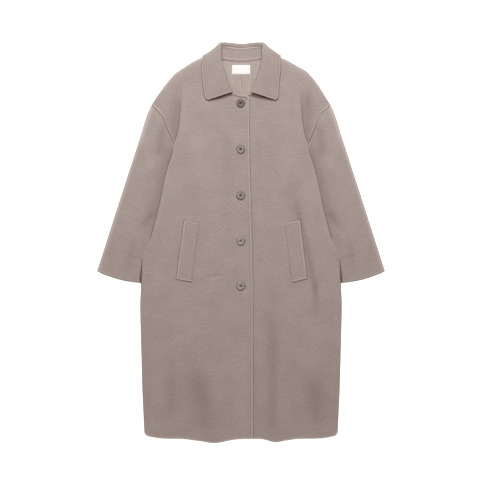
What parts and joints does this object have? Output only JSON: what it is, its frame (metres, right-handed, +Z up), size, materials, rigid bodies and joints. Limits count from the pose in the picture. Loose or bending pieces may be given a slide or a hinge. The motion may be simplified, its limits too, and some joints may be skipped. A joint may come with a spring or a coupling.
{
  "type": "long coat",
  "caption": "Long single-breasted wool coat with a fold-over collar, dropped sleeves and welt pockets, laid flat on its back and buttoned.",
  "frame": {"origin": "on the surface the coat lies on, under the middle of its outline", "axes": "+X towards the coat's left sleeve, +Y from hem to collar, +Z up from the surface, out of the coat's front"},
  "size_m": [0.864, 1.202, 0.023],
  "materials": {
    "wool": "soft brushed taupe wool",
    "lining": "smooth beige lining",
    "label": "plain white woven tape, blank",
    "horn": "mottled brown horn-like resin, satin"
  },
  "bodies": {
    "root": {"back": "wool", "front_right": "wool", "front_left": "wool", "sleeve_right": "wool", "sleeve_left": "wool", "collar_fall": "wool", "collar_stand": "wool", "welt_right": "wool", "welt_left": "wool", "neck_lining": "lining", "label": "label", "button_1": "horn", "button_2": "horn", "button_3": "horn", "button_4": "horn", "button_5": "horn"}
  },
  "joints": []
}
